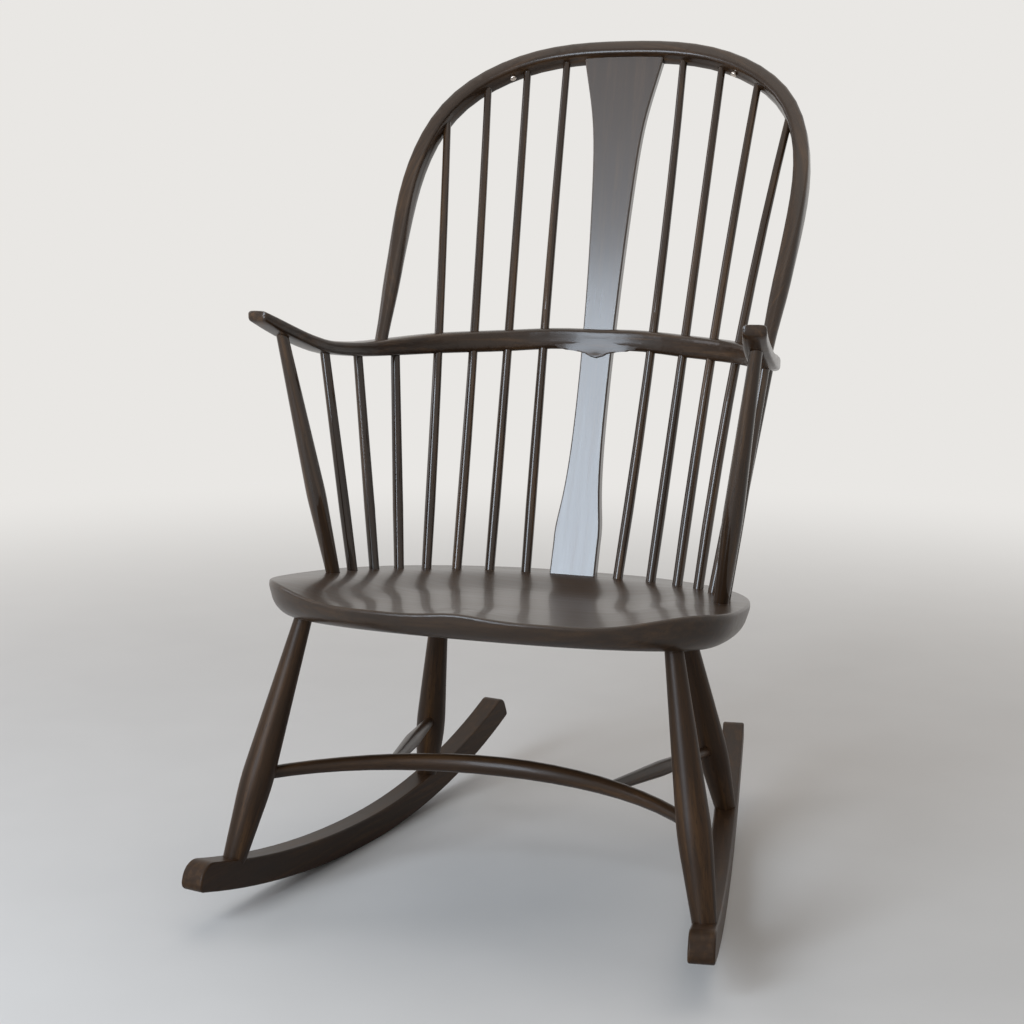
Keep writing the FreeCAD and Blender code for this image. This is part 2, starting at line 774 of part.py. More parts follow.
hoop_blank = feature("hoop_bend", hoop_tube())
for side in ("right", "left"):
    start, end = hoop_limb(side)
    socket("arm_bow", start - (end - start), end, size("hoop_foot_diameter"))

# Arm bow

def bow_section(share, shrink=0.0):
    underside, top = bow_levels(share)
    aside = share * BOW_HALF_LENGTH / size("bow_pendant_half_width")
    underside -= size("bow_pendant_drop") * math.exp(-aside * aside)
    width = size("bow_width") * along(BOW_FORM_SHARES, 3, abs(share))
    point, line = bow_place(share)
    point.z = (underside + top) / 2
    across = line.cross(Vector(0, 0, 1)).normalize()
    return rounded_section(
        point, across, Vector(0, 0, 1), width - 2 * shrink, top - underside - 2 * shrink,
        BOW_POWER_SHARE)


tip_round = size("bow_tip_round")
tip_share = tip_round / BOW_HALF_LENGTH
tip_shares = [1.0 - tip_share, 1.0 - tip_share / 3, 1.0]
shrinks = {1.0 - tip_share / 3: tip_round / 3, 1.0: tip_round}
bow_sections = [
    bow_section(share, shrinks.get(abs(share), 0.0))
    for share in both_ways(list(BOW_SECTION_SHARES) + tip_shares)]
bow_blank = feature("arm_bow_bend", loft(bow_sections))

# Seat

def seat_reach(back):
    """Reach and roundness of the seat's outline behind its widest line, or in front of it."""
    if back:
        return size("seat_back_reach"), SEAT_BACK_POWER_SHARE
    return size("seat_front_reach"), SEAT_FRONT_POWER_SHARE


def outline_ring(inset, drop):
    """The seat's outline, drawn in by an inset, at a drop below the top plane."""
    points = []
    for index in range(OUTLINE_COUNT):
        angle = 360.0 * index / OUTLINE_COUNT
        reach, power = seat_reach(angle < 180.0)
        x, y = superellipse(angle, size("seat_half_width") - inset, reach - inset, power)
        points.append(Vector(x, y - size("seat_widest_setback"), -drop))
    curve = Part.BSplineCurve()
    curve.interpolate(points, True)
    return Part.Wire(curve.toShape())


def hollow_height(x, y):
    """How far the saddled top stands above the rim's plane, in the seat's own frame."""
    behind = y + size("seat_widest_setback")
    reach, power = seat_reach(behind > 0)
    aside = abs(x) / size("seat_half_width")
    forward = 0.0
    if behind > 0:
        aside = (aside ** power + (behind / reach) ** power) ** (1 / power)
    else:
        forward = min(-behind / reach, 1.0)
    inner = blend(HOLLOW_INNER_SHARES[0], HOLLOW_INNER_SHARES[1], forward)
    outer = blend(HOLLOW_OUTER_SHARES[0], HOLLOW_OUTER_SHARES[1], forward)
    depth = blend(size("hollow_depth"), size("front_dip"), forward)
    pommel = size("pommel_rise") * ease(POMMEL_SHARES[0], POMMEL_SHARES[1], forward)
    pommel *= math.exp(-(x / size("pommel_half_width")) ** 2)
    return pommel - depth * (1 - ease(inner, outer, aside))


def seat_solid():
    thickness = size("seat_thickness")
    undercut = size("seat_undercut")
    rings = [outline_ring(undercut * inset, thickness * drop) for drop, inset in SEAT_EDGE_SHARES]
    lip = outline_ring(undercut * 2 * SEAT_EDGE_SHARES[0][1], -size("pommel_rise"))
    block = loft([lip] + rings, straight=False)
    columns, rows = SEAT_GRID_COUNTS
    margin = size("seat_thickness")
    reach_x = size("seat_half_width") + margin
    front = seat_front() - margin
    back = seat_back() + margin
    grid = []
    for column in range(columns):
        x = blend(-reach_x, reach_x, column / (columns - 1))
        line = []
        for row in range(rows):
            y = blend(front, back, row / (rows - 1))
            line.append(Vector(x, y, hollow_height(x, y)))
        grid.append(line)
    saddle = Part.BSplineSurface()
    saddle.interpolate(grid)
    air = saddle.toShape().extrude(Vector(0, 0, size("overrun")))
    block = block.cut(air)
    arris = max(block.Edges, key=lambda edge: edge.Length)
    block = block.makeFillet(size("seat_arris_round"), [arris])
    block.Placement = seat_frame()
    return block


seat_blank = feature("seat_blank", seat_solid())

# Rockers

def rocker_blank(side):
    """A rocker sawn to a long front arc and a shorter back arc that meet level where it stands."""
    height = size("rocker_height")
    contact = size("rocker_contact_place")

    def arc_point(radius, rise, sweep):
        angle = math.radians(sweep)
        reach = radius - rise
        return Vector(contact + reach * math.sin(angle), 0, radius - reach * math.cos(angle))

    edges = []
    corners = []
    for end, sweep in (("front", -size("rocker_front_sweep")), ("back", size("rocker_back_sweep"))):
        radius = size("rocker_%s_radius" % end)
        for rise in (0.0, height):
            points = [arc_point(radius, rise, sweep * share) for share in (0.0, 0.5, 1.0)]
            edges.append(Part.Arc(*points).toShape())
            corners.append(points[-1])
        edges.append(Part.LineSegment(corners[-2], corners[-1]).toShape())
    chin, nose, heel, tail = corners
    face = Part.Face(Part.Wire(Part.__sortEdges__(edges)))
    width = size("rocker_width")
    solid = face.extrude(Vector(0, width, 0))
    solid.translate(Vector(0, -width / 2, 0))
    for corner, name in (
            (nose, "rocker_nose_round"), (chin, "rocker_chin_round"),
            (tail, "rocker_tail_round"), (heel, "rocker_heel_round")):
        middle = [edge for edge in solid.Edges if edge.CenterOfMass.distanceToPoint(corner) < 1e-3]
        solid = solid.makeFillet(size(name), middle)
    rims = [edge for edge in solid.Edges if abs(abs(edge.CenterOfMass.y) - width / 2) < 1e-3]
    solid = solid.makeFillet(size("rocker_edge_round"), rims)
    solid.Placement = rocker_frame(side)
    return solid


rocker_blanks = {
    "right": rocker_blank(1),
    "left": rocker_blank(-1)}

# Legs

def leg(side, sign, name):
    """A leg turned about its own line, coped over the rocker, with a tenon at each end."""
    label = "%s_%s" % (side, name)

    def at(level):
        point = leg_line(name, level)
        return point if sign > 0 else other_side(point)

    top_normal = seat_frame().Rotation.multVec(Vector(0, 0, 1))
    underside = seat_frame().multVec(Vector(0, 0, -size("seat_thickness")))
    low, high = at(size("leg_lower_level")), at(size("leg_upper_level"))
    line = (high - low).normalize()
    enter = low + line * ((underside - low).dot(top_normal) / line.dot(top_normal))
    head = enter + line * size("leg_socket_depth")
    on_rocker = rocker_top(side, sign, low, line)
    foot = on_rocker - line * size("leg_tenon_length")
    shoulder = size("leg_tenon_length") * TENON_SHOULDER_SHARE
    belly = size("leg_tenon_length") + size(name + "_belly_height")
    stations = [
        (0.0, "leg_tenon_diameter"), (shoulder, "leg_tenon_diameter"), (shoulder, "leg_foot_diameter"),
        (belly, "leg_belly_diameter"), ((enter - foot).Length, "leg_head_diameter"),
        ((head - foot).Length, "leg_head_diameter")]
    body = turned(label, foot, head, stations, 4)
    bed = Part.makeCompound([rocker_blanks[side]])
    mortise = rod(foot - line * size("socket_end_gap"), on_rocker + line * shoulder,
                  size("leg_tenon_diameter") + 2 * clearance)
    cope = document.addObject("Part::Cut", label + "_coped")
    cope.Base = body
    cope.Tool = feature(label + "_bed", bed.cut(mortise))
    sockets["%s_rocker" % side].append(mortise)
    socket("seat", enter - (head - enter), head, size("leg_head_diameter"))
    sockets[label] = []
    return cope


def rocker_top(side, sign, low, line):
    """Where a leg's line meets the rocker's top arc."""
    frame = rocker_frame(sign).inverse()
    start = frame.multVec(low)
    step = frame.Rotation.multVec(line)
    x = start.x - size("rocker_contact_place")
    radius = size("rocker_front_radius") if x < 0 else size("rocker_back_radius")
    inner = radius - size("rocker_height")
    z = start.z - radius
    a = step.x ** 2 + step.z ** 2
    b = 2 * (x * step.x + z * step.z)
    c = x ** 2 + z ** 2 - inner ** 2
    travel = (-b - math.sqrt(b * b - 4 * a * c)) / (2 * a)
    return low + line * travel


leg_pieces = {}
for side, sign in (("right", 1), ("left", -1)):
    for name in ("front_leg", "rear_leg"):
        leg_pieces["%s_%s" % (side, name)] = leg(side, sign, name)

# Stretchers

def stretcher_arc():
    """The bowed stretcher's middle line: one arc through the front legs and the middle."""
    level = size("bow_stretcher_level")
    right = leg_line("front_leg", level)
    middle = Vector(0, right.y + size("bow_stretcher_bow"), level)
    return Part.Arc(other_side(right), middle, right).toShape()


STRETCHER = stretcher_arc()


def stretcher_rod(growth):
    """The bowed stretcher, thickest in its middle, with a round tenon in each front leg."""
    whole = STRETCHER.Length
    inset = size("leg_belly_diameter") / 2 - size("stretcher_socket_depth")
    rings = []
    for index in range(STRETCHER_SECTION_COUNT + 1):
        share = index / STRETCHER_SECTION_COUNT
        distance = blend(inset, whole - inset, share)
        parameter = STRETCHER.getParameterByLength(distance)
        swell = ease(0.0, 0.5, min(share, 1 - share))
        diameter = blend(size("bow_stretcher_end_diameter"), size("bow_stretcher_middle_diameter"), swell)
        centre = STRETCHER.valueAt(parameter)
        rings.append(ring(centre, STRETCHER.tangentAt(parameter), diameter + growth))
    return loft(rings)


def spur_ends(sign):
    """A spur's ends on the rear leg's and on the bowed stretcher's middle lines."""
    on_leg = leg_line("rear_leg", size("spur_leg_level"))
    centre = STRETCHER.Curve.Center
    reach = size("spur_reach")
    sag = math.sqrt(STRETCHER.Curve.Radius ** 2 - (reach - centre.x) ** 2)
    on_bow = Vector(reach, centre.y + sag, size("bow_stretcher_level") - size("spur_drop"))
    if sign < 0:
        on_leg = other_side(on_leg)
        on_bow = other_side(on_bow)
    return on_leg, on_bow


stretcher_blank = feature("bow_stretcher_bend", stretcher_rod(0.0))
stretcher_cutter = stretcher_rod(2 * clearance)
for side, sign in (("right", 1), ("left", -1)):
    sockets["%s_front_leg" % side].append(stretcher_cutter)
    on_leg, on_bow = spur_ends(sign)
    line = (on_bow - on_leg).normalize()
    start = on_leg + line * (size("leg_belly_diameter") / 2 - size("stretcher_socket_depth"))
    end = on_bow - line * (size("bow_stretcher_middle_diameter") / 2 - size("spur_socket_depth"))
    length = (end - start).Length
    spur = turned(
        "%s_spur" % side, start, end,
        [(0.0, "spur_end_diameter"), (size("stretcher_socket_depth"), "spur_end_diameter"),
         (length / 2, "spur_middle_diameter"),
         (length - size("spur_socket_depth"), "spur_end_diameter"), (length, "spur_end_diameter")],
        3)
    keep(spur, "%s_stretcher_spur" % side)
    for host in ("%s_rear_leg" % side, "bow_stretcher"):
        hole_start = start - line * size("socket_end_gap")
        hole_end = end + line * size("socket_end_gap")
        if host == "bow_stretcher":
            hole_start = end - line * 3 * size("spur_socket_depth")
        else:
            hole_end = start + line * 3 * size("stretcher_socket_depth")
        sockets[host].append(rod(hole_start, hole_end, size("spur_end_diameter") + 2 * clearance))

# Cushion studs

def stud_place(sign):
    """The underside of a stud's head, a neck's height off the hoop's inner face, and the way it points."""
    middle = hoop_at_width(size("stud_half_span"))
    parameter = HOOP.parameter(middle)
    inward = HOOP.tangent(parameter)[0].cross(hoop_normal()).normalize()
    share = HOOP.length(HOOP_MIDDLE, parameter) / HOOP_HALF_LENGTH
    face = middle + inward * (hoop_band_width(share) / 2 + size("stud_neck_height"))
    if sign < 0:
        return other_side(face), other_side(inward)
    return face, inward


for side, sign in (("right", 1), ("left", -1)):
    face, inward = stud_place(sign)
    bottom = face - inward * size("stud_shank_length")
    top = face + inward * size("stud_head_height")
    shank = size("stud_shank_length")
    stud = turned(
        "%s_cushion_stud" % side, bottom, top,
        [(0.0, "stud_shank_diameter"), (shank, "stud_shank_diameter"), (shank, "stud_head_diameter"),
         (shank + size("stud_wall_height"), "stud_head_diameter"),
         (shank + size("stud_head_height"), "stud_crown_diameter")])
    keep(stud, "%s_cushion_stud" % side)
    socket("hoop", face + inward * size("stud_head_height"), bottom, size("stud_shank_diameter"))

# Pieces that receive the others

fitted("seat", seat_blank, sockets["seat"])
fitted("arm_bow", bow_blank, sockets["arm_bow"])
fitted("hoop", hoop_blank, sockets["hoop"])
fitted("bow_stretcher", stretcher_blank, sockets["bow_stretcher"])
for side in ("right", "left"):
    blank = feature("%s_rocker_blank" % side, rocker_blanks[side])
    fitted("%s_rocker" % side, blank, sockets["%s_rocker" % side])
    for name in ("front_leg", "rear_leg"):
        label = "%s_%s" % (side, name)
        fitted(label, leg_pieces[label], sockets[label])

document.recompute()

# The frame's origin stands below the middle of the chair's outer box.
outer = FreeCAD.BoundBox()
for piece in pieces:
    outer.add(piece.Shape.optimalBoundingBox(False, False))
shift = Vector(0, -(outer.YMin + outer.YMax) / 2, 0)
for piece in pieces:
    piece.Placement = Placement(piece.Placement.Base + shift, piece.Placement.Rotation)
document.recompute()

for item in document.Objects:
    if "Invalid" in item.State or "Error" in item.State:
        raise RuntimeError("%s did not build: %s" % (item.Label, item.State))
os.makedirs("parts", exist_ok=True)
for piece in pieces:
    if piece.Shape.isNull() or not piece.Shape.isValid():
        raise RuntimeError("%s has no valid shape" % piece.Label)
    if len(piece.Shape.Solids) != 1:
        raise RuntimeError("%s has %d solids" % (piece.Label, len(piece.Shape.Solids)))
for piece in pieces:
    piece.Shape.exportStep("parts/%s.step" % piece.Label)
print("pieces", len(pieces), "box", outer, "shift", shift)
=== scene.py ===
import json
import math

import bmesh
import bpy
from mathutils import Euler, Matrix, Vector


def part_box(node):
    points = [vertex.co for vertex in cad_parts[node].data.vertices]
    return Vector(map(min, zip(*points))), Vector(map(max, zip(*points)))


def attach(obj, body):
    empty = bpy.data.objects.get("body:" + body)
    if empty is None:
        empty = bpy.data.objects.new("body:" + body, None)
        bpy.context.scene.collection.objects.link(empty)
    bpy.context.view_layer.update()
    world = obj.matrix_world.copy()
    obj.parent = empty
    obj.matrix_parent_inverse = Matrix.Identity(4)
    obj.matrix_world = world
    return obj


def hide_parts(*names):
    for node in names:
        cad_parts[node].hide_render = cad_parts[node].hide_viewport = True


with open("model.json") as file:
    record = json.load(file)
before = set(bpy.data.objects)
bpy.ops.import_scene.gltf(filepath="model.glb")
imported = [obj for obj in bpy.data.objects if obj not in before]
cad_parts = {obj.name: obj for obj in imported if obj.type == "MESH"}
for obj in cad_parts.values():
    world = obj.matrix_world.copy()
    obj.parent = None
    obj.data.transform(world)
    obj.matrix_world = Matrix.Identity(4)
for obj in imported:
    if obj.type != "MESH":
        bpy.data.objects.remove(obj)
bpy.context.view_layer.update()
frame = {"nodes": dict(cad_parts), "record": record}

bl_info = {
    "name": "Hoop Back Rocking Chair",
    "version": (1, 0, 0),
    "blender": (4, 5, 0),
    "location": "View3D > Sidebar > Rocking Chair",
    "description": "Dresses a hoop back rocking chair in stained, lacquered wood and lights it",
    "category": "Object",
}

MM = 0.001
SHARP_EDGE = math.radians(35)  # faces that turn further than this keep a crisp edge
WELD = 0.02 * MM  # points closer than this are one point
X_AXIS, Y_AXIS, Z_AXIS = Vector((1, 0, 0)), Vector((0, 1, 0)), Vector((0, 0, 1))
NODES = frame["nodes"]
SIDES = ("right", "left")
LONG_SPINDLES = [f"{side}_long_spindle_{number}" for side in SIDES for number in range(1, 5)]
SHORT_SPINDLES = [f"{side}_short_spindle_{number}" for side in SIDES for number in range(1, 4)]
ARM_POSTS = [f"{side}_arm_post" for side in SIDES]
LEGS = [f"{side}_{name}" for side in SIDES for name in ("front_leg", "rear_leg")]
ROCKERS = [f"{side}_rocker" for side in SIDES]
SPURS = [f"{side}_stretcher_spur" for side in SIDES]


def linear(code):
    """A linear RGBA colour from an sRGB hex code."""
    parts = [int(code[place:place + 2], 16) / 255 for place in (1, 3, 5)]
    return tuple(p / 12.92 if p <= 0.04045 else ((p + 0.055) / 1.055) ** 2.4 for p in parts) + (1.0,)


def colour(code, name, description):
    """A colour setting from an sRGB hex code."""
    return bpy.props.FloatVectorProperty(
        name=name, description=description, size=4, default=linear(code), min=0.0, max=1.0,
        subtype="COLOR")


# Settings

class HoopChairWood(bpy.types.PropertyGroup):
    """The wood's stain and lacquer.

    The pores are drawn coarser than real ones, so that they show at the picture's scale.
    """

    stain_dark: colour("#1a130d", "Dark stain", "The pores and the dark streaks")
    stain_body: colour("#312114", "Body stain", "Most of the wood")
    stain_warm: colour("#573d24", "Warm stain", "Where the wood took less stain")
    seat_body: colour("#302216", "Seat stain", "The broad boards of the seat")
    streak_width: bpy.props.FloatProperty(
        name="Streak width", description="Distance between the growth streaks",
        default=8 * MM, unit="LENGTH")
    streak_length: bpy.props.FloatProperty(
        name="Streak length", description="Length of a growth streak along the grain",
        default=190 * MM, unit="LENGTH")
    pore_width: bpy.props.FloatProperty(
        name="Pore width", description="Distance between the fine pores", default=1.0 * MM,
        unit="LENGTH")
    pore_length: bpy.props.FloatProperty(
        name="Pore length", description="Length of a pore along the grain", default=16 * MM,
        unit="LENGTH")
    roughness: bpy.props.FloatProperty(
        name="Lacquer roughness", description="Sheen of the lacquer, from gloss at 0", default=0.3,
        min=0.0, max=1.0, subtype="FACTOR")


class HoopChairPendant(bpy.types.PropertyGroup):
    """The pointed face of the arm bow, in front of the splat."""

    half_width: bpy.props.FloatProperty(
        name="Half width", description="From the middle to where the face dies into the bow",
        default=58 * MM, unit="LENGTH")
    bow_width: bpy.props.FloatProperty(
        name="Bow width", description="The arm bow from front to back", default=23 * MM, unit="LENGTH")
    plan_radius: bpy.props.FloatProperty(
        name="Plan radius", description="The bow's bend at its middle, seen from above",
        default=400 * MM, unit="LENGTH")
    face_height: bpy.props.FloatProperty(
        name="Face height", description="From the bow's underside up to where the face begins",
        default=15.5 * MM, unit="LENGTH")
    drop: bpy.props.FloatProperty(
        name="Drop", description="How far the point hangs below the bow's underside",
        default=10 * MM, unit="LENGTH")
    spread: bpy.props.FloatProperty(
        name="Spread", description="How far to the side the point has mostly run out",
        default=18 * MM, unit="LENGTH")
    lean: bpy.props.FloatProperty(
        name="Lean", description="How far the point stands in front of the face's upper edge",
        default=6.8 * MM, unit="LENGTH")
    hollow: bpy.props.FloatProperty(
        name="Hollow", description="Power of the lean's curve from a straight slope at 1", default=1.7)
    lean_end: bpy.props.FloatProperty(
        name="Lean's end", description="Share of the half width where the face stands upright again",
        default=0.85, subtype="FACTOR", min=0.0, max=1.0)
    rise_start: bpy.props.FloatProperty(
        name="Rise's start", description="Share of the half width where the lower edge turns upward",
        default=0.75, subtype="FACTOR", min=0.0, max=1.0)
    sink: bpy.props.FloatProperty(
        name="Sink", description="How far the face's outer border lies inside the bow",
        default=0.12 * MM, unit="LENGTH")
    edge_round: bpy.props.FloatProperty(
        name="Edge round", description="Rounding of the lower edge", default=1.6 * MM, unit="LENGTH")


class HoopChairStud(bpy.types.PropertyGroup):
    """A cushion stud's sizes."""

    head_diameter: bpy.props.FloatProperty(
        name="Head diameter", description="Across the head", default=8.6 * MM, unit="LENGTH")
    head_height: bpy.props.FloatProperty(
        name="Head height", description="From the head's underside to its crown",
        default=3.2 * MM, unit="LENGTH")
    dome_round: bpy.props.FloatProperty(
        name="Dome", description="Rounding of the head's edge", default=1.5 * MM, unit="LENGTH")
    neck_diameter: bpy.props.FloatProperty(
        name="Neck diameter", description="Across the shank under the head", default=4.0 * MM,
        unit="LENGTH")
    neck_length: bpy.props.FloatProperty(
        name="Neck length", description="From the head's underside into the hoop",
        default=7.0 * MM, unit="LENGTH")
    pin_height: bpy.props.FloatProperty(
        name="Strap height", description="From the head's underside to the middle of a strap's seat",
        default=1.4 * MM, unit="LENGTH")


class HoopChairStage(bpy.types.PropertyGroup):
    """The camera and the studio.

    The camera's values were solved from the photograph.
    """

    camera_place: bpy.props.FloatVectorProperty(
        name="Camera place", description="Where the camera stands", size=3,
        default=(0.6870, -2.1281, 0.8455), subtype="TRANSLATION", unit="LENGTH")
    camera_turn: bpy.props.FloatProperty(
        name="Camera turn", description="Turn of the view about the vertical",
        default=math.radians(19.203), subtype="ANGLE")
    camera_fall: bpy.props.FloatProperty(
        name="Camera fall", description="How far the view looks down",
        default=math.radians(10.056), subtype="ANGLE")
    camera_roll: bpy.props.FloatProperty(
        name="Camera roll", description="Tilt of the picture's sides",
        default=math.radians(0.297), subtype="ANGLE")
    lens: bpy.props.FloatProperty(
        name="Lens", description="Focal length in millimetres on a sensor 36 mm wide", default=63.49)
    shift_x: bpy.props.FloatProperty(
        name="Shift across", description="Lens shift for the photograph's framing", default=0.0108)
    shift_y: bpy.props.FloatProperty(
        name="Shift up", description="Lens shift for the photograph's framing", default=0.0058)
    floor_colour: colour("#d6d3cf", "Floor", "The floor under the chair")
    air_colour: colour("#e9e7e4", "Background", "The pale room that the floor fades into")


# Colour and material helpers

def add(tree, kind, links=None, **settings):
    """Adds a node with its settings; links maps an input's name or number to another node's output."""
    node = tree.nodes.new(kind)
    for name, value in settings.items():
        if name.startswith("in_"):
            node.inputs[name[3:].replace("_", " ")].default_value = value
        else:
            setattr(node, name, value)
    for place, source in (links or {}).items():
        tree.links.new(source, node.inputs[place])
    return node


def ramp(tree, source, stops):
    """A colour ramp from stops of a position and a linear colour."""
    node = add(tree, "ShaderNodeValToRGB", {0: source})
    elements = node.color_ramp.elements
    while len(elements) < len(stops):
        elements.new(0.5)
    for element, (position, shade) in zip(elements, stops):
        element.position = position
        element.color = shade
    return node.outputs[0]


def seen_directly(tree):
    """Whether the camera sees this, straight or by a reflection or through glass."""
    path = add(tree, "ShaderNodeLightPath").outputs
    seen = add(
        tree, "ShaderNodeMath", {0: path["Is Camera Ray"], 1: path["Is Glossy Ray"]},
        operation="MAXIMUM").outputs[0]
    return add(
        tree, "ShaderNodeMath", {0: seen, 1: path["Is Transmission Ray"]},
        operation="MAXIMUM").outputs[0]


def grain_turn(direction):
    """Euler angles that lay a straight piece's own length along the pattern's X."""
    return direction.rotation_difference(X_AXIS).to_euler()


def stained_wood(
        name, place, turn, body, settings, warmth, streaks, shine=0.35, coat=0.3, film=0.12, matt=0.0):
    """Stained beech or elm under satin lacquer.

    Long soft streaks where the stain took unevenly, fine dark pores along the grain and a thin
    clear film that rounds the pores over, so highlights are clean and only slightly broken.
    Warmth and streaks say how far the warm and the dark stain are reached, shine how strong the
    wood's own reflection is, and matt how much rougher than the settings' lacquer it is. Coat is the
    share of the polished film over it, and film that film's roughness. A piece with no turn reads its
    grain from an attribute.
    """
    material = bpy.data.materials.new(name)
    material.use_nodes = True
    tree = material.node_tree
    tree.nodes.clear()
    if turn is None:
        coordinates = add(tree, "ShaderNodeAttribute", attribute_name="grain").outputs["Vector"]
    else:
        coordinates = add(tree, "ShaderNodeTexCoord").outputs["Object"]
    laid = add(
        tree, "ShaderNodeMapping", {"Vector": coordinates}, vector_type="POINT",
        in_Rotation=turn or Euler(), in_Location=place).outputs["Vector"]
    stretched = add(
        tree, "ShaderNodeMapping", {"Vector": laid}, vector_type="POINT",
        in_Scale=(settings.streak_width / settings.streak_length, 1.0, 1.0)).outputs["Vector"]
    streak = add(
        tree, "ShaderNodeTexNoise", {"Vector": stretched}, in_Scale=1 / settings.streak_width,
        in_Detail=3.0, in_Roughness=0.55, in_Distortion=0.35).outputs["Fac"]
    fine = add(
        tree, "ShaderNodeMapping", {"Vector": laid}, vector_type="POINT",
        in_Scale=(settings.pore_width / settings.pore_length, 1.0, 1.0)).outputs["Vector"]
    pore = add(
        tree, "ShaderNodeTexNoise", {"Vector": fine}, in_Scale=1 / settings.pore_width, in_Detail=2.0,
        in_Roughness=0.6).outputs["Fac"]
    warm = tuple(b + (w - b) * warmth for b, w in zip(body, settings.stain_warm))
    dark = tuple(b + (d - b) * streaks for b, d in zip(body, settings.stain_dark))
    stain = ramp(tree, streak, ((0.22, dark), (0.5, tuple(body)), (0.8, warm)))
    pore_depth = ramp(tree, pore, ((0.3, (0.0, 0.0, 0.0, 1.0)), (0.45, (1.0, 1.0, 1.0, 1.0))))
    inked = add(
        tree, "ShaderNodeMix", {"Factor": pore_depth, 7: stain}, data_type="RGBA",
        blend_type="MIX").outputs[2]
    inked.node.inputs[6].default_value = dark
    sheen = add(
        tree, "ShaderNodeMapRange", {"Value": streak}, in_From_Min=0.2, in_From_Max=0.8,
        in_To_Min=settings.roughness + matt - 0.04,
        in_To_Max=settings.roughness + matt + 0.05).outputs["Result"]
    bump = add(
        tree, "ShaderNodeBump", {"Height": pore_depth}, in_Strength=0.1, in_Distance=0.1 * MM)
    shader = add(
        tree, "ShaderNodeBsdfPrincipled",
        {"Base Color": inked, "Roughness": sheen, "Normal": bump.outputs["Normal"]},
        in_IOR=1.46, in_Specular_IOR_Level=shine, in_Coat_Weight=coat, in_Coat_Roughness=film,
        in_Coat_IOR=1.45)
    add(tree, "ShaderNodeOutputMaterial", {"Surface": shader.outputs["BSDF"]})
    return material


def plated_metal(name):
    """Nickel-plated brass, stamped and tumbled: bright, slightly warm, with faint polishing marks."""
    material = bpy.data.materials.new(name)
    material.use_nodes = True
    tree = material.node_tree
    tree.nodes.clear()
    coordinates = add(tree, "ShaderNodeTexCoord").outputs["Object"]
    marks = add(
        tree, "ShaderNodeTexNoise", {"Vector": coordinates}, in_Scale=1 / (0.8 * MM), in_Detail=3.0
        ).outputs["Fac"]
    tint = ramp(tree, marks, ((0.3, linear("#cfc3b8")), (0.7, linear("#efe6dd"))))
    rough = add(
        tree, "ShaderNodeMapRange", {"Value": marks}, in_To_Min=0.16, in_To_Max=0.3).outputs["Result"]
    shader = add(
        tree, "ShaderNodeBsdfPrincipled", {"Base Color": tint, "Roughness": rough}, in_Metallic=1.0)
    add(tree, "ShaderNodeOutputMaterial", {"Surface": shader.outputs["BSDF"]})
    return material


def painted_board(name, pale, distant):
    """Matt emulsion: an even pale surface with a very faint roller texture.

    Well away from the chair it fades into the colour of the air, so that no horizon shows.
    """
    material = bpy.data.materials.new(name)
    material.use_nodes = True
    tree = material.node_tree
    tree.nodes.clear()
    coordinates = add(tree, "ShaderNodeTexCoord").outputs["Object"]
    mottle = add(tree, "ShaderNodeTexNoise", {"Vector": coordinates}, in_Scale=6.0).outputs["Fac"]
    shade = tuple(part * 0.97 for part in pale[:3]) + (1.0,)
    paint = ramp(tree, mottle, ((0.3, shade), (0.7, pale)))
    board = add(tree, "ShaderNodeBsdfPrincipled", {"Base Color": paint}, in_Roughness=0.8)
    reach = add(tree, "ShaderNodeVectorMath", {0: coordinates}, operation="LENGTH").outputs["Value"]
    far = add(
        tree, "ShaderNodeMapRange", {"Value": reach}, interpolation_type="SMOOTHSTEP",
        in_From_Min=0.8, in_From_Max=3.2).outputs["Result"]
    share = add(
        tree, "ShaderNodeMath", {0: far, 1: seen_directly(tree)}, operation="MULTIPLY").outputs[0]
    air = add(tree, "ShaderNodeEmission", in_Color=distant, in_Strength=1.0)
    faded = add(
        tree, "ShaderNodeMixShader", {0: share, 1: board.outputs["BSDF"], 2: air.outputs["Emission"]})
    add(tree, "ShaderNodeOutputMaterial", {"Surface": faded.outputs["Shader"]})
    return material


# Shape helpers

def dress(node, material):
    """Gives a kept solid its finish."""
    slots = NODES[node].data.materials
    if len(slots):
        slots[0] = material
    else:
        slots.append(material)


def end_to_end(node, share=0.1):
    """The direction from a piece's lower end to its upper end, by the points in that share of it."""
    low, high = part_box(node)
    end = (high.z - low.z) * share
    points = [vertex.co for vertex in NODES[node].data.vertices]
    lower = [point for point in points if point.z < low.z + end]
    upper = [point for point in points if point.z > high.z - end]
    foot = sum(lower, Vector()) / len(lower)
    head = sum(upper, Vector()) / len(upper)
    return (head - foot).normalized()


def offset_for(node):
    """A place in the pattern of its own for each piece, so that no two show the same streaks.

    The factors have no meaning of their own: they only spread the pieces.
    """
    low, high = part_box(node)
    return Vector((low.x * 3.1 + high.z, low.y * 2.3 - high.x, high.y * 1.7 + low.z))


def level_length(node, inward):
    """The level direction along a side piece that runs inward, or outward, to its back end."""
    low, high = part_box(node)
    outward_sign = 1 if high.x > 0 else -1
    across = (high.x - low.x) * (-outward_sign if inward else outward_sign)
    return Vector((across, high.y - low.y, 0)).normalized()


def finish_smooth(shape):
    """Smooth shading, with an edge kept sharp where its faces turn far from each other."""
    for face in shape.faces:
        face.smooth = True
    for edge in shape.edges:
        edge.smooth = edge.is_manifold and edge.calc_face_angle(0.0) < SHARP_EDGE


def lay_grain(shape, grain):
    """Writes each point's place in the wood's pattern."""
    layer = shape.verts.layers.float_vector.new("grain")
    for vertex in shape.verts:
        vertex[layer] = grain(vertex.co)


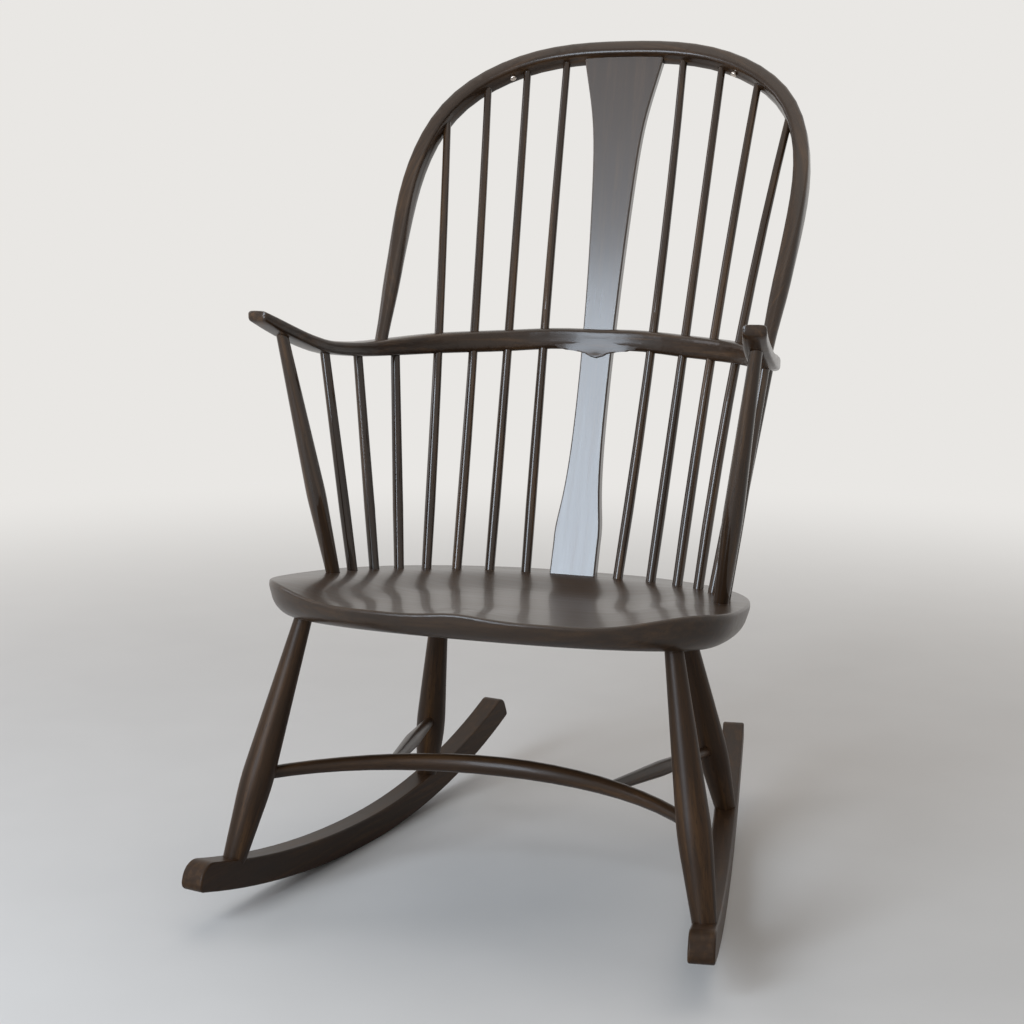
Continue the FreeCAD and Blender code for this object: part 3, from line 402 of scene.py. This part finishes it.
def smooth_copy(name, node, grain, material):
    """A joined and smoothed copy of a bent piece, with its grain laid along the bend."""
    mesh = NODES[node].data.copy()
    mesh.name = name
    piece = bpy.data.objects.new(name, mesh)
    bpy.context.scene.collection.objects.link(piece)
    shape = bmesh.new()
    shape.from_mesh(mesh)
    bmesh.ops.remove_doubles(shape, verts=shape.verts, dist=WELD)
    bmesh.ops.recalc_face_normals(shape, faces=shape.faces)
    finish_smooth(shape)
    lay_grain(shape, grain)
    shape.to_mesh(mesh)
    shape.free()
    mesh.materials.clear()
    mesh.materials.append(material)
    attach(piece, "root")
    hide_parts(node)


def along_bend(centre, across, up, mean_radius=0.25):
    """Grain for a piece bent round a centre: length round the bend, then radius, then depth."""
    axis = across.cross(up).normalized()

    def place(point):
        arm = point - centre
        depth = arm.dot(axis)
        x, y = arm.dot(across), arm.dot(up)
        radius = math.hypot(x, y)
        return Vector((math.atan2(x, y) * mean_radius, radius, depth))

    return place


def bow_grain():
    """Grain of the arm bow, round the middle of its bend."""
    low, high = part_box("arm_bow")
    centre = Vector((0, high.y - (high.x - low.x) / 2, 0))
    return along_bend(centre, X_AXIS, Y_AXIS)


# Pieces

class HOOPCHAIR_OT_seat(bpy.types.Operator):
    """Finish the saddled seat in stained elm"""

    bl_idname = "hoop_chair.seat"
    bl_label = "Seat"

    def execute(self, context):
        wood = context.scene.hoop_chair_wood
        dress("seat", stained_wood(
            "stained elm, seat", offset_for("seat"), grain_turn(X_AXIS), wood.seat_body, wood,
            warmth=0.35, streaks=0.6, shine=0.4, coat=0.2, matt=0.04))
        return {"FINISHED"}


class HOOPCHAIR_OT_bends(bpy.types.Operator):
    """Make the steam-bent hoop and the arm bow with their grain round the bend"""

    bl_idname = "hoop_chair.bends"
    bl_label = "Hoop and arm bow"

    def execute(self, context):
        wood = context.scene.hoop_chair_wood
        low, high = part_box("hoop")
        foot = Vector((0, low.y, low.z))
        crown = Vector((0, high.y, high.z))
        centre_share = 0.42
        hoop_grain = along_bend(foot.lerp(crown, centre_share), X_AXIS, (crown - foot).normalized())
        smooth_copy("steam_bent_hoop", "hoop", hoop_grain, stained_wood(
            "stained beech, hoop", Vector((0.3, 0.1, 0.2)), None, wood.stain_body, wood,
            warmth=0.8, streaks=0.6))
        smooth_copy("steam_bent_arm_bow", "arm_bow", bow_grain(), stained_wood(
            "stained beech, arm bow", Vector((1.3, 0.4, 0.7)), None, wood.stain_body, wood,
            warmth=0.8, streaks=0.6))
        return {"FINISHED"}


class HOOPCHAIR_OT_splat(bpy.types.Operator):
    """Finish the shaped splat, its grain upright"""

    bl_idname = "hoop_chair.splat"
    bl_label = "Splat"

    def execute(self, context):
        wood = context.scene.hoop_chair_wood
        dress("back_splat", stained_wood(
            "stained beech, splat", offset_for("back_splat"), grain_turn(end_to_end("back_splat")),
            wood.stain_body, wood, warmth=0.3, streaks=0.3, shine=0.55, coat=0.8))
        return {"FINISHED"}


class HOOPCHAIR_OT_pendant(bpy.types.Operator):
    """Make the arm bow's leaning, pointed face, which hangs in front of the splat"""

    bl_idname = "hoop_chair.pendant"
    bl_label = "Pendant of the arm bow"

    def execute(self, context):
        pendant = context.scene.hoop_chair_pendant
        low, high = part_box("arm_bow")
        front = high.y - pendant.bow_width
        underside = low.z + pendant.drop
        top = underside + pendant.face_height
        back = front + pendant.bow_width / 3
        point_round = 2 * MM
        point_power = 1.25
        shape = bmesh.new()
        bmesh.ops.create_grid(shape, x_segments=48, y_segments=6, size=1.0)
        lower_rim = [edge for edge in shape.edges if all(v.co.y < -0.99 for v in edge.verts)]
        for vertex in shape.verts:
            x = vertex.co.x * pendant.half_width
            side = abs(vertex.co.x)
            off = math.hypot(x, point_round) - point_round
            hang = pendant.drop * math.exp(-(off / pendant.spread) ** point_power)
            rise = max(0.0, side - pendant.rise_start) * pendant.face_height
            foot = underside - hang + rise
            z = foot + (top - foot) * (vertex.co.y + 1) / 2
            reach = min(1.0, side / pendant.lean_end)
            fade = 1 - reach * reach * (3 - 2 * reach)
            fall = max(0.0, top - z) / (pendant.face_height + pendant.drop)
            lean = pendant.lean * fall ** pendant.hollow * fade
            bend = x * x / (2 * pendant.plan_radius)
            vertex.co = (x, front - bend - lean + pendant.sink, z)
        moved = bmesh.ops.extrude_face_region(shape, geom=list(shape.faces))["geom"]
        for vertex in (item for item in moved if isinstance(item, bmesh.types.BMVert)):
            vertex.co.y = back
        bmesh.ops.bevel(
            shape, geom=lower_rim, offset=pendant.edge_round, offset_type="OFFSET", segments=4,
            profile=0.5, affect="EDGES", material=-1, clamp_overlap=True)
        bmesh.ops.remove_doubles(shape, verts=shape.verts, dist=WELD)
        bmesh.ops.recalc_face_normals(shape, faces=shape.faces)
        finish_smooth(shape)
        lay_grain(shape, bow_grain())
        mesh = bpy.data.meshes.new("arm_bow_pendant")
        shape.to_mesh(mesh)
        shape.free()
        mesh.materials.append(bpy.data.materials["stained beech, arm bow"])
        piece = bpy.data.objects.new(mesh.name, mesh)
        context.scene.collection.objects.link(piece)
        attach(piece, "root")
        return {"FINISHED"}


class HOOPCHAIR_OT_spindles(bpy.types.Operator):
    """Finish the spindles and arm posts, each with its grain along its own length"""

    bl_idname = "hoop_chair.spindles"
    bl_label = "Spindles and arm posts"

    def execute(self, context):
        wood = context.scene.hoop_chair_wood
        for node in LONG_SPINDLES + SHORT_SPINDLES + ARM_POSTS:
            dress(node, stained_wood(
                f"stained beech, {node}", offset_for(node), grain_turn(end_to_end(node)),
                wood.stain_body, wood, warmth=0.9, streaks=0.6, shine=0.1, coat=1.0, film=0.05))
        return {"FINISHED"}


class HOOPCHAIR_OT_legs(bpy.types.Operator):
    """Finish the four turned legs"""

    bl_idname = "hoop_chair.legs"
    bl_label = "Legs"

    def execute(self, context):
        wood = context.scene.hoop_chair_wood
        for node in LEGS:
            dress(node, stained_wood(
                f"stained beech, {node}", offset_for(node), grain_turn(end_to_end(node)),
                wood.stain_body, wood, warmth=0.7, streaks=0.6, shine=0.2, coat=0.0, matt=0.1))
        return {"FINISHED"}


class HOOPCHAIR_OT_rockers(bpy.types.Operator):
    """Finish the rockers, sawn with their grain from toe to tail"""

    bl_idname = "hoop_chair.rockers"
    bl_label = "Rockers"

    def execute(self, context):
        wood = context.scene.hoop_chair_wood
        for node in ROCKERS:
            length = level_length(node, inward=True)
            dress(node, stained_wood(
                f"stained beech, {node}", offset_for(node), grain_turn(length), wood.stain_body, wood,
                warmth=0.5, streaks=0.5, shine=0.2, coat=0.0, matt=0.1))
        return {"FINISHED"}


class HOOPCHAIR_OT_stretchers(bpy.types.Operator):
    """Make the bowed stretcher with its grain round the bend, and finish its two spurs"""

    bl_idname = "hoop_chair.stretchers"
    bl_label = "Stretchers"

    def execute(self, context):
        wood = context.scene.hoop_chair_wood
        low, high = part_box("bow_stretcher")
        half, sag = (high.x - low.x) / 2, high.y - low.y
        radius = (half * half + sag * sag) / (2 * sag)
        centre = Vector((0, high.y - radius, 0))
        grain = along_bend(centre, X_AXIS, Y_AXIS)
        smooth_copy("bowed_stretcher", "bow_stretcher", grain, stained_wood(
            "stained beech, bowed stretcher", Vector((2.1, 0.2, 0.9)), None, wood.stain_body, wood,
            warmth=0.7, streaks=0.6, shine=0.25, coat=0.1, matt=0.06))
        for node in SPURS:
            length = level_length(node, inward=False)
            dress(node, stained_wood(
                f"stained beech, {node}", offset_for(node), grain_turn(length), wood.stain_body, wood,
                warmth=0.7, streaks=0.6, shine=0.25, coat=0.1, matt=0.06))
        return {"FINISHED"}


class HOOPCHAIR_OT_studs(bpy.types.Operator):
    """Make the two bright cushion studs, domed over a short wall and a neck"""

    bl_idname = "hoop_chair.studs"
    bl_label = "Cushion studs"

    def execute(self, context):
        metal = plated_metal("plated brass, studs")
        stud = context.scene.hoop_chair_stud
        overlap, rim_band = 0.2 * MM, 0.01 * MM
        for mount in frame["record"]["mounts"]:
            axis = Vector(mount["axis"]).normalized()
            turn = Z_AXIS.rotation_difference(axis).to_matrix().to_4x4()
            underside = Vector(mount["pos_m"]) - axis * stud.pin_height
            shape = bmesh.new()
            for radius, low, high in (
                    (stud.head_diameter / 2, 0.0, stud.head_height),
                    (stud.neck_diameter / 2, -stud.neck_length, overlap)):
                middle = underside + axis * (low + high) / 2
                bmesh.ops.create_cone(
                    shape, cap_ends=True, segments=48, radius1=radius, radius2=radius, depth=high - low,
                    matrix=Matrix.Translation(middle) @ turn)
            top = underside + axis * (stud.head_height - rim_band)
            rim = [edge for edge in shape.edges if all((v.co - top).dot(axis) > 0 for v in edge.verts)]
            bmesh.ops.bevel(
                shape, geom=rim, offset=stud.dome_round, offset_type="OFFSET", segments=8, profile=0.5,
                affect="EDGES", material=-1)
            finish_smooth(shape)
            mesh = bpy.data.meshes.new(f"{mount['name']}_domed")
            shape.to_mesh(mesh)
            shape.free()
            piece = bpy.data.objects.new(mesh.name, mesh)
            context.scene.collection.objects.link(piece)
            mesh.materials.append(metal)
            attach(piece, "root")
            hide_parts(mount["name"])
        return {"FINISHED"}


# Stage

def area_light(name, place, target, size, power, tint):
    """A rectangular lamp, which the camera doesn't see, aimed at a point."""
    lamp = bpy.data.lights.new(name, "AREA")
    lamp.shape = "RECTANGLE"
    lamp.size, lamp.size_y = size
    lamp.energy = power
    lamp.color = linear(tint)[:3]
    light = bpy.data.objects.new(name, lamp)
    light.location = place
    light.rotation_euler = (Vector(target) - Vector(place)).to_track_quat("-Z", "Y").to_euler()
    light.visible_camera = False
    bpy.context.scene.collection.objects.link(light)


class HOOPCHAIR_OT_stage(bpy.types.Operator):
    """Set the camera at the photograph's angle, with a plain pale floor and soft studio light"""

    bl_idname = "hoop_chair.stage"
    bl_label = "Camera, floor and light"

    def execute(self, context):
        scene = context.scene
        stage = scene.hoop_chair_stage
        data = bpy.data.cameras.new("photograph_camera")
        data.sensor_width = 36
        data.lens = stage.lens
        data.shift_x, data.shift_y = stage.shift_x, stage.shift_y
        data.clip_start, data.clip_end = 0.05, 60
        camera = bpy.data.objects.new("photograph_camera", data)
        camera.location = stage.camera_place
        heading = Euler((math.pi / 2 - stage.camera_fall, 0, stage.camera_turn)).to_matrix()
        roll = Euler((0, 0, stage.camera_roll)).to_matrix()
        camera.rotation_euler = (heading @ roll).to_euler()
        scene.collection.objects.link(camera)
        scene.camera = camera

        shape = bmesh.new()
        bmesh.ops.create_grid(shape, x_segments=1, y_segments=1, size=12.0)
        mesh = bpy.data.meshes.new("studio_floor")
        shape.to_mesh(mesh)
        shape.free()
        floor = bpy.data.objects.new("studio_floor", mesh)
        scene.collection.objects.link(floor)
        mesh.materials.append(painted_board(
            "matt emulsion, floor", tuple(stage.floor_colour), tuple(stage.air_colour)))

        world = bpy.data.worlds.new("studio_air")
        world.use_nodes = True
        tree = world.node_tree
        tree.nodes.clear()
        dim = add(tree, "ShaderNodeBackground", in_Color=linear("#f4f6fa"), in_Strength=0.3)
        pale = add(
            tree, "ShaderNodeBackground", in_Color=tuple(stage.air_colour), in_Strength=1.0)
        mixed = add(
            tree, "ShaderNodeMixShader",
            {0: seen_directly(tree), 1: dim.outputs["Background"], 2: pale.outputs["Background"]})
        add(tree, "ShaderNodeOutputWorld", {"Surface": mixed.outputs["Shader"]})
        scene.world = world

        # The window's upper part shows in the leaning splat, its lower part in the arm bow's face.
        area_light("tall_window", (-0.86, -2.4, 1.42), (-0.86, 0, 1.42), (1.0, 1.95), 70, "#e2f0ff")
        area_light("side_window", (-2.6, -0.5, 1.7), (0, 0, 0.6), (1.2, 1.4), 12, "#f4f6ff")
        area_light("ceiling_light", (0.3, 0.8, 3.4), (0, 0.3, 0), (4.0, 4.0), 42, "#fff8f0")
        scene.view_settings.view_transform = "Standard"
        return {"FINISHED"}


class HOOPCHAIR_PT_panel(bpy.types.Panel):
    """Lists the chair's settings and operators"""

    bl_idname = "HOOPCHAIR_PT_panel"
    bl_label = "Hoop Back Rocking Chair"
    bl_space_type = "VIEW_3D"
    bl_region_type = "UI"
    bl_category = "Rocking Chair"

    def draw(self, context):
        layout = self.layout
        scene = context.scene
        for group in (
                scene.hoop_chair_wood, scene.hoop_chair_pendant, scene.hoop_chair_stud,
                scene.hoop_chair_stage):
            column = layout.column(align=True)
            for name in group.__annotations__:
                column.prop(group, name)
        for operator in OPERATORS:
            layout.operator(operator.bl_idname)


SETTINGS = (HoopChairWood, HoopChairPendant, HoopChairStud, HoopChairStage)
OPERATORS = (
    HOOPCHAIR_OT_stage, HOOPCHAIR_OT_seat, HOOPCHAIR_OT_bends, HOOPCHAIR_OT_pendant, HOOPCHAIR_OT_splat,
    HOOPCHAIR_OT_spindles, HOOPCHAIR_OT_legs, HOOPCHAIR_OT_rockers, HOOPCHAIR_OT_stretchers,
    HOOPCHAIR_OT_studs)


def register():
    for item in SETTINGS + OPERATORS + (HOOPCHAIR_PT_panel,):
        bpy.utils.register_class(item)
    bpy.types.Scene.hoop_chair_wood = bpy.props.PointerProperty(type=HoopChairWood)
    bpy.types.Scene.hoop_chair_pendant = bpy.props.PointerProperty(type=HoopChairPendant)
    bpy.types.Scene.hoop_chair_stud = bpy.props.PointerProperty(type=HoopChairStud)
    bpy.types.Scene.hoop_chair_stage = bpy.props.PointerProperty(type=HoopChairStage)


def unregister():
    del bpy.types.Scene.hoop_chair_stage
    del bpy.types.Scene.hoop_chair_stud
    del bpy.types.Scene.hoop_chair_pendant
    del bpy.types.Scene.hoop_chair_wood
    for item in reversed(SETTINGS + OPERATORS + (HOOPCHAIR_PT_panel,)):
        bpy.utils.unregister_class(item)


def main():
    register()
    for operator in OPERATORS:
        name = operator.bl_idname.removeprefix("hoop_chair.")
        getattr(bpy.ops.hoop_chair, name)()
    bpy.context.view_layer.update()


if __name__ == "__main__":
    main()
